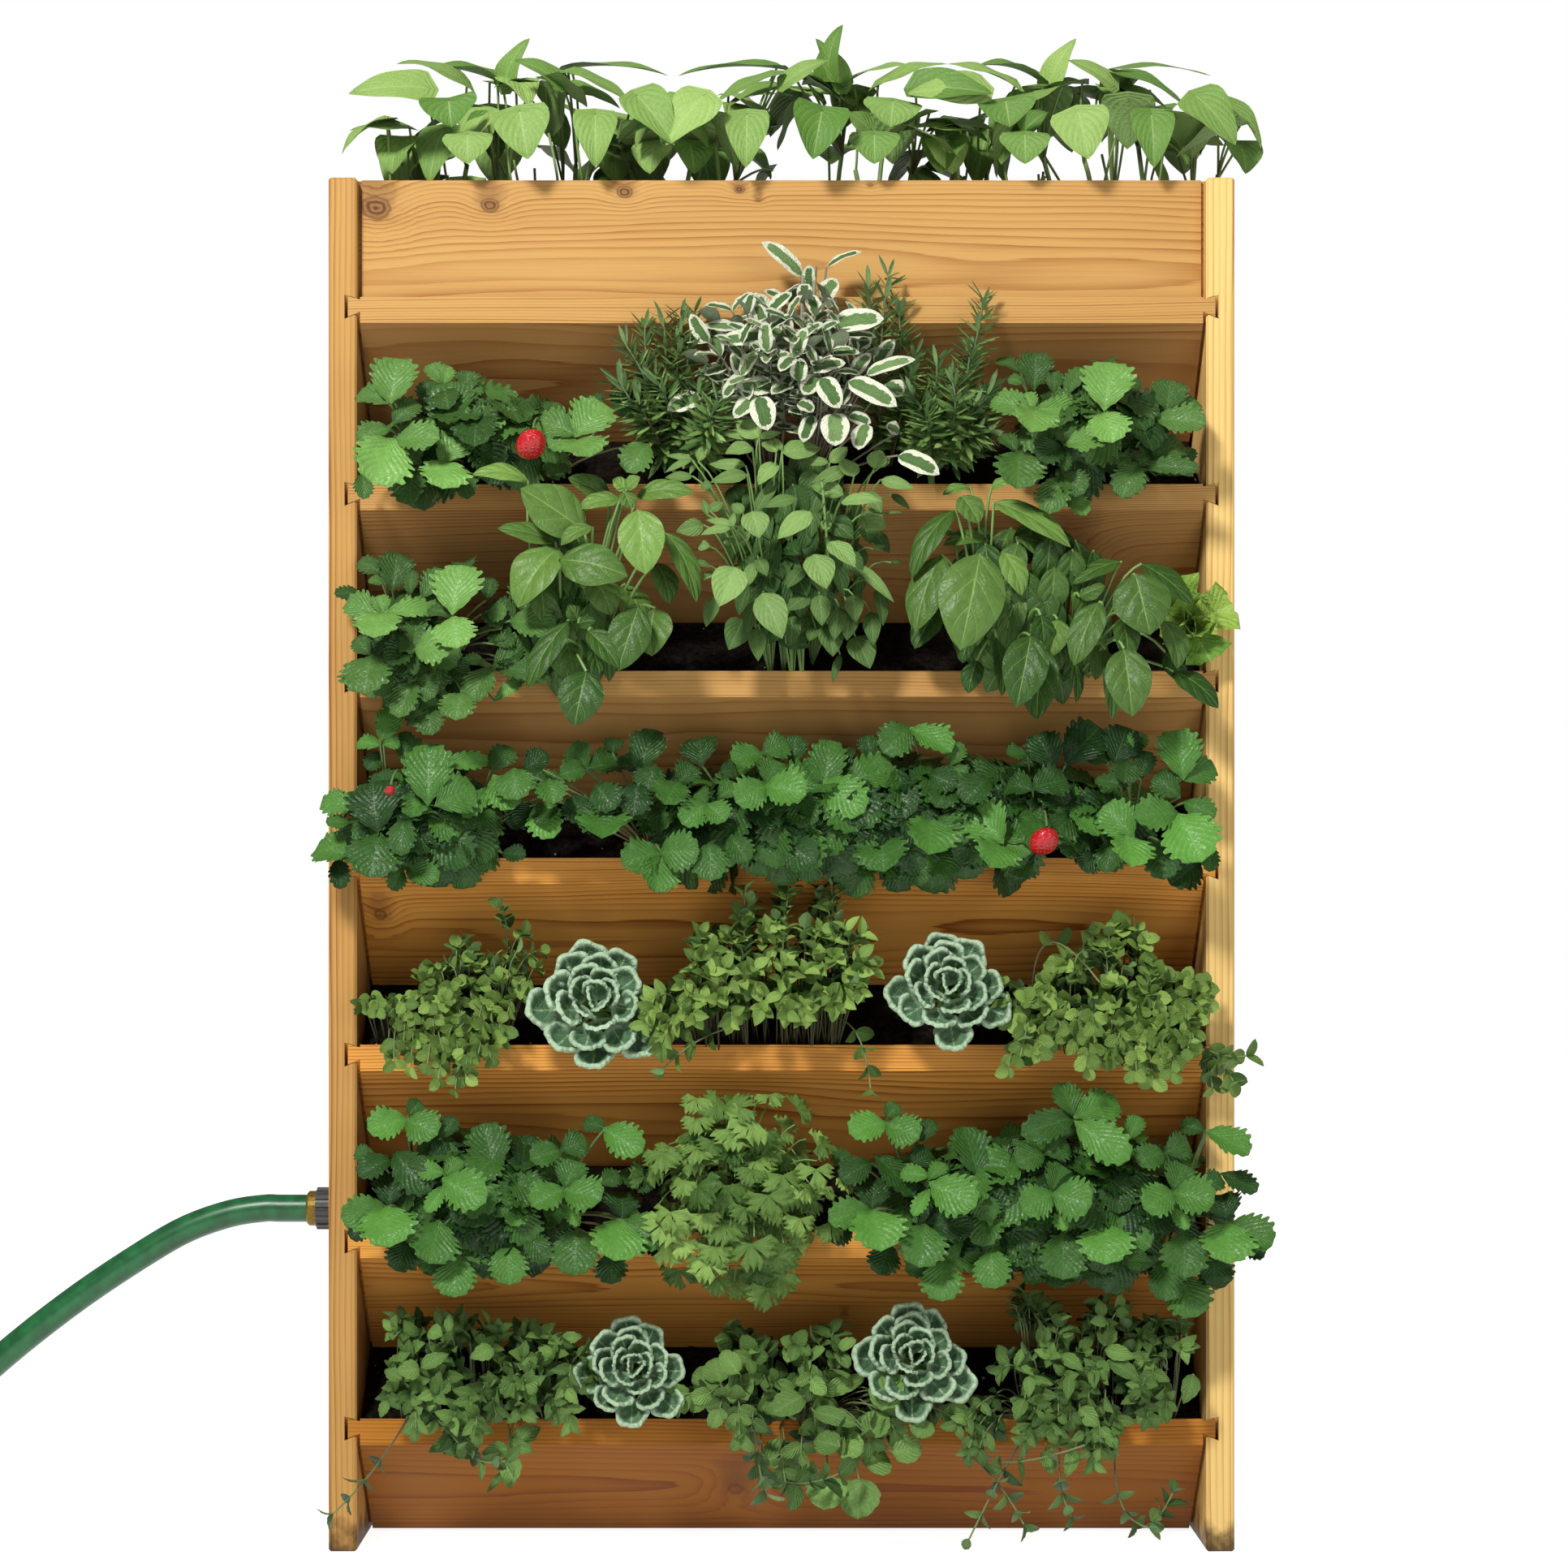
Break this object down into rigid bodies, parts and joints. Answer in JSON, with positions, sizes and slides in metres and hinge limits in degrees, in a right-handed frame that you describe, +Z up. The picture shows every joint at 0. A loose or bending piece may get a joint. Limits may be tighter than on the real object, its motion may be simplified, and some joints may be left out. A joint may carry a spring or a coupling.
{
  "type": "vertical garden planter",
  "caption": "Free-standing cedar planter with tilted boards that hold planted soil pockets up its front, and a hose inlet low on one side.",
  "frame": {"origin": "on the ground under the middle of the planting, at the middle of the planter's width and depth", "axes": "+Z up, -Y towards the planted front, +X to the viewer's right; the hose inlet is on the -X side"},
  "size_m": [1.6621, 0.4106, 1.3622],
  "materials": {
    "cedar": "planed cedar, oiled satin",
    "cedar_pale": "planed cedar with its paler sapwood, satin",
    "potting_soil": "damp loose potting soil, matte",
    "leaf_green": "living leaves, satin",
    "leaf_dark": "living dark leaves, slightly glossy",
    "sprout_green": "living blue-green crinkled leaves, matte",
    "black_pipe": "black irrigation plastic, matte",
    "grey_plastic": "dark grey moulded plastic, satin",
    "black_rubber": "moulded rubber, matte",
    "brass": "dull yellow brass",
    "green_hose": "green hose, slightly glossy"
  },
  "bodies": {
    "planter": {"back_board_1": "cedar", "back_board_2": "cedar", "back_board_3": "cedar", "back_board_4": "cedar", "back_board_5": "cedar", "back_board_6": "cedar", "back_board_7": "cedar", "back_board_8": "cedar", "basil_2_left": "leaf_green", "basil_2_middle": "leaf_green", "basil_2_right": "leaf_green", "bean_plants_left": "leaf_green", "bean_plants_right": "leaf_green", "cilantro_5": "leaf_green", "drip_line_1": "black_pipe", "drip_line_2": "black_pipe", "drip_line_3": "black_pipe", "drip_line_4": "black_pipe", "drip_line_5": "black_pipe", "drip_line_6": "black_pipe", "drip_line_7": "black_pipe", "fascia_board": "cedar", "floor_board": "cedar", "hose_coil": "green_hose", "hose_male_end": "brass", "hose_tube": "green_hose", "hose_washer": "black_rubber", "inlet_tailpiece": "grey_plastic", "mint_6_left": "leaf_green", "mint_6_middle": "leaf_green", "mint_6_right": "leaf_green", "oregano_4_left": "leaf_green", "oregano_4_middle": "leaf_green", "oregano_4_right": "leaf_green", "potting_soil": "potting_soil", "riser_pipe": "black_pipe", "sage_1": "leaf_green", "side_panel_left": "cedar_pale", "side_panel_right": "cedar_pale", "sprout_4_left": "sprout_green", "sprout_4_right": "sprout_green", "sprout_6_left": "sprout_green", "sprout_6_right": "sprout_green", "strawberry_1_left": "leaf_green", "strawberry_1_right": "leaf_green", "strawberry_2_left": "leaf_green", "strawberry_3_left": "leaf_dark", "strawberry_3_right": "leaf_dark", "strawberry_5_left": "leaf_dark", "strawberry_5_right": "leaf_dark", "tap_coupling_ferrule": "brass", "tier_board_1": "cedar", "tier_board_2": "cedar", "tier_board_3": "cedar", "tier_board_4": "cedar", "tier_board_5": "cedar", "tier_board_6": "cedar", "tier_board_7": "cedar"},
    "inlet_swivel_nut": {"inlet_swivel_nut": "grey_plastic"},
    "tap_coupling_nut": {"tap_coupling_nut": "brass"}
  },
  "joints": [
    {"name": "inlet_nut_swivel", "type": "hinge", "parent": "planter", "child": "inlet_swivel_nut", "pos_m": [-0.4225, 0.094, 0.2934], "axis": [1, 0, 0], "continuous": true},
    {"name": "tap_nut_swivel", "type": "hinge", "parent": "planter", "child": "tap_coupling_nut", "pos_m": [-1.15821, -0.13529, 0.0178], "axis": [0, 1, 0], "continuous": true}
  ]
}
